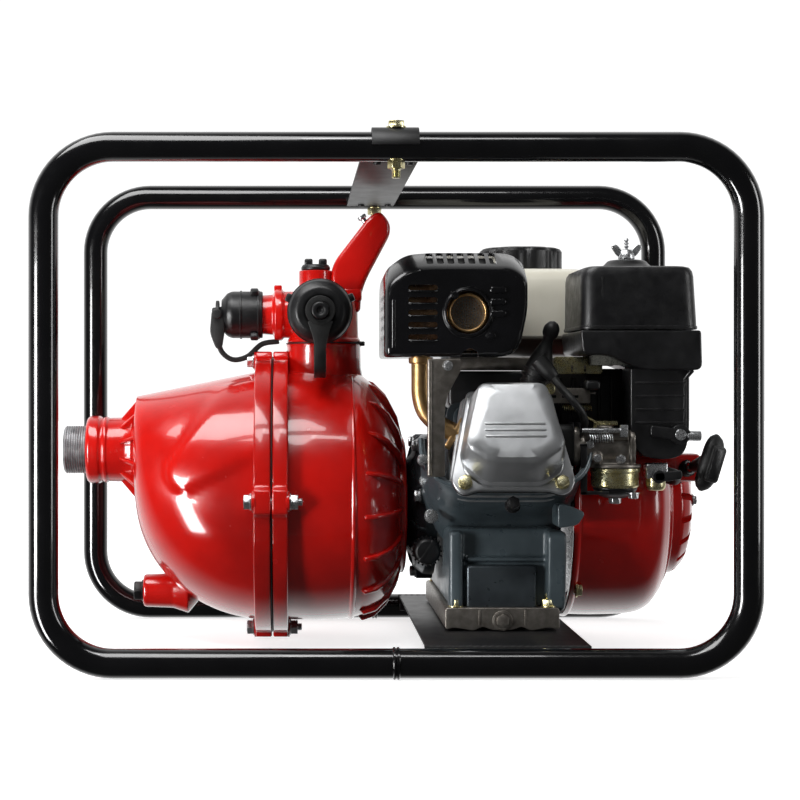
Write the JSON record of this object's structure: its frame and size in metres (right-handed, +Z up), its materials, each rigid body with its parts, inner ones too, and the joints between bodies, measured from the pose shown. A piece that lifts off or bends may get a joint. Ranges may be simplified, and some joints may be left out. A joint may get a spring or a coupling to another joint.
{
  "type": "portable fire pump",
  "caption": "Petrol-driven portable fire pump: red cast centrifugal pump, horizontal-shaft engine and recoil starter in a black tube carrying frame.",
  "frame": {"origin": "centre of the footprint, on the ground under the two frame loops", "axes": "+X from the suction side to the starter side, +Y away from the valve cover side, +Z up"},
  "size_m": [0.623, 0.4428, 0.4721],
  "materials": {
    "frame_black": "gloss black powder coat",
    "red_enamel": "gloss red enamel over a casting",
    "galvanised": "galvanised threaded steel",
    "black_plastic": "satin moulded plastic",
    "black_rubber": "matt black rubber",
    "dark_casting": "dark painted die casting",
    "silver_casting": "satin silver die casting",
    "guard_black": "gloss black heat-proof enamel",
    "heated_steel": "heat-tinted steel",
    "cream_enamel": "gloss cream enamel",
    "zinc": "bright zinc plating",
    "yellow_zinc": "yellow zinc plating",
    "bronze": "cast bronze",
    "ground_steel": "ground steel",
    "ceramic": "glazed ceramic",
    "filter_foam": "oiled foam and paper",
    "rope": "braided nylon"
  },
  "bodies": {
    "frame_body": {"frame_loop_front": "frame_black", "frame_loop_rear": "frame_black", "base_plate": "frame_black", "top_bridge": "frame_black", "pump_front_casing": "red_enamel", "pump_rear_casing": "red_enamel", "discharge_manifold": "red_enamel", "carry_arm": "red_enamel", "fan_cover": "red_enamel", "recoil_cover": "red_enamel", "suction_nipple": "galvanised", "air_cleaner_case": "black_plastic", "cap_strap_front": "black_rubber", "cap_strap_side": "black_rubber", "spark_plug_cap": "black_rubber", "casing_gasket": "black_rubber", "crankcase": "dark_casting", "crankcase_cover": "dark_casting", "diffuser": "dark_casting", "cylinder_head": "silver_casting", "valve_cover": "silver_casting", "muffler_guard": "guard_black", "muffler": "heated_steel", "exhaust_pipe": "heated_steel", "fuel_tank": "cream_enamel", "casing_bolt": "zinc", "carburettor": "zinc", "bridge_bolt_front": "yellow_zinc", "bridge_bolt_rear": "yellow_zinc", "bearing_drive_side": "ground_steel", "bearing_flywheel_side": "ground_steel", "spark_plug": "ceramic", "shaft_seal": "ceramic", "air_filter_element": "filter_foam"},
    "crankshaft": {"crank_drive_half": "ground_steel", "crank_flywheel_half": "ground_steel", "flywheel": "ground_steel", "impeller_first_stage": "bronze", "impeller_second_stage": "bronze"},
    "piston_body": {"piston": "silver_casting", "wrist_pin": "ground_steel"},
    "rod_body": {"connecting_rod": "ground_steel", "crankpin": "ground_steel"},
    "grip_body": {"starter_grip": "black_rubber", "starter_rope": "rope"},
    "pulley_body": {"starter_pulley": "black_plastic"},
    "front_cap_body": {"outlet_cap_front": "black_plastic"},
    "side_cap_body": {"outlet_cap_side": "black_plastic"},
    "priming_plug_body": {"priming_plug": "black_plastic"},
    "drain_plug_body": {"drain_plug": "black_plastic"},
    "fuel_cap_body": {"fuel_cap": "black_plastic"},
    "oil_cap_body": {"oil_filler_cap": "black_plastic"},
    "cleaner_cover_body": {"air_cleaner_cover": "black_plastic"},
    "wing_nut_body": {"air_cleaner_wing_nut": "zinc"},
    "choke_body": {"choke_lever": "black_plastic"},
    "throttle_body": {"throttle_lever": "black_plastic"},
    "fuel_tap_body": {"fuel_tap_lever": "black_plastic"},
    "stop_switch_body": {"stop_switch": "black_plastic"},
    "flap_body": {"suction_flap": "black_rubber"}
  },
  "joints": [
    {"name": "crank_spin", "type": "hinge", "parent": "frame_body", "child": "crankshaft", "pos_m": [0, 0.045, 0.132], "axis": [1, 0, 0], "continuous": true},
    {"name": "piston_slide", "type": "slide", "parent": "frame_body", "child": "piston_body", "axis": [0, -0.9063, 0.4226], "range_m": [-0.054, 0]},
    {"name": "rod_swing", "type": "hinge", "parent": "piston_body", "child": "rod_body", "pos_m": [0.105, -0.0556, 0.17891], "axis": [1, 0, 0], "range_deg": [-18.7, 18.7]},
    {"name": "starter_pull", "type": "slide", "parent": "frame_body", "child": "grip_body", "axis": [0.4501, -0.8703, 0.2001], "range_m": [0, 0.45]},
    {"name": "starter_pulley_spin", "type": "hinge", "parent": "frame_body", "child": "pulley_body", "pos_m": [0.239, 0.045, 0.132], "axis": [1, 0, 0], "range_deg": [0, 645]},
    {"name": "front_cap_turn", "type": "hinge", "parent": "frame_body", "child": "front_cap_body", "pos_m": [-0.062, -0.024, 0.318], "axis": [0, -1, 0], "range_deg": [0, 360]},
    {"name": "side_cap_turn", "type": "hinge", "parent": "frame_body", "child": "side_cap_body", "pos_m": [-0.117, 0.045, 0.318], "axis": [-1, 0, 0], "range_deg": [0, 360]},
    {"name": "priming_plug_turn", "type": "hinge", "parent": "frame_body", "child": "priming_plug_body", "pos_m": [-0.065, 0.045, 0.3613], "axis": [0, 0, 1], "range_deg": [0, 360]},
    {"name": "drain_plug_turn", "type": "hinge", "parent": "frame_body", "child": "drain_plug_body", "pos_m": [-0.2343, 0.045, 0.047], "axis": [-1, 0, 0], "range_deg": [0, 360]},
    {"name": "fuel_cap_turn", "type": "hinge", "parent": "frame_body", "child": "fuel_cap_body", "pos_m": [0.143, 0.1, 0.368], "axis": [0, 0, 1], "range_deg": [0, 90]},
    {"name": "oil_cap_turn", "type": "hinge", "parent": "frame_body", "child": "oil_cap_body", "pos_m": [0.039, -0.0225, 0.092], "axis": [0, -1, 0], "range_deg": [0, 360]},
    {"name": "cleaner_cover_lift", "type": "slide", "parent": "frame_body", "child": "cleaner_cover_body", "axis": [0, 0, 1], "range_m": [0, 0.12]},
    {"name": "wing_nut_turn", "type": "hinge", "parent": "cleaner_cover_body", "child": "wing_nut_body", "pos_m": [0.223, -0.052, 0.366], "axis": [0, 0, 1], "range_deg": [0, 360]},
    {"name": "choke_turn", "type": "hinge", "parent": "frame_body", "child": "choke_body", "pos_m": [0.261, -0.107, 0.204], "axis": [0, 1, 0], "range_deg": [0, 50]},
    {"name": "throttle_turn", "type": "hinge", "parent": "frame_body", "child": "throttle_body", "pos_m": [0.185, -0.05, 0.246], "axis": [0, 0, 1], "range_deg": [-15, 22]},
    {"name": "fuel_tap_turn", "type": "hinge", "parent": "frame_body", "child": "fuel_tap_body", "pos_m": [0.242, -0.103, 0.166], "axis": [0, 1, 0], "range_deg": [0, 60]},
    {"name": "stop_switch_turn", "type": "hinge", "parent": "frame_body", "child": "stop_switch_body", "pos_m": [0.2693, 0.101, 0.189], "axis": [1, 0, 0], "range_deg": [0, 60]},
    {"name": "suction_flap_swing", "type": "hinge", "parent": "frame_body", "child": "flap_body", "pos_m": [-0.2315, 0.045, 0.2165], "axis": [0, -1, 0], "range_deg": [0, 45]}
  ],
  "couplings": [
    {"joint": "starter_pulley_spin", "follows": "starter_pull", "rad_per_m": 25}
  ]
}
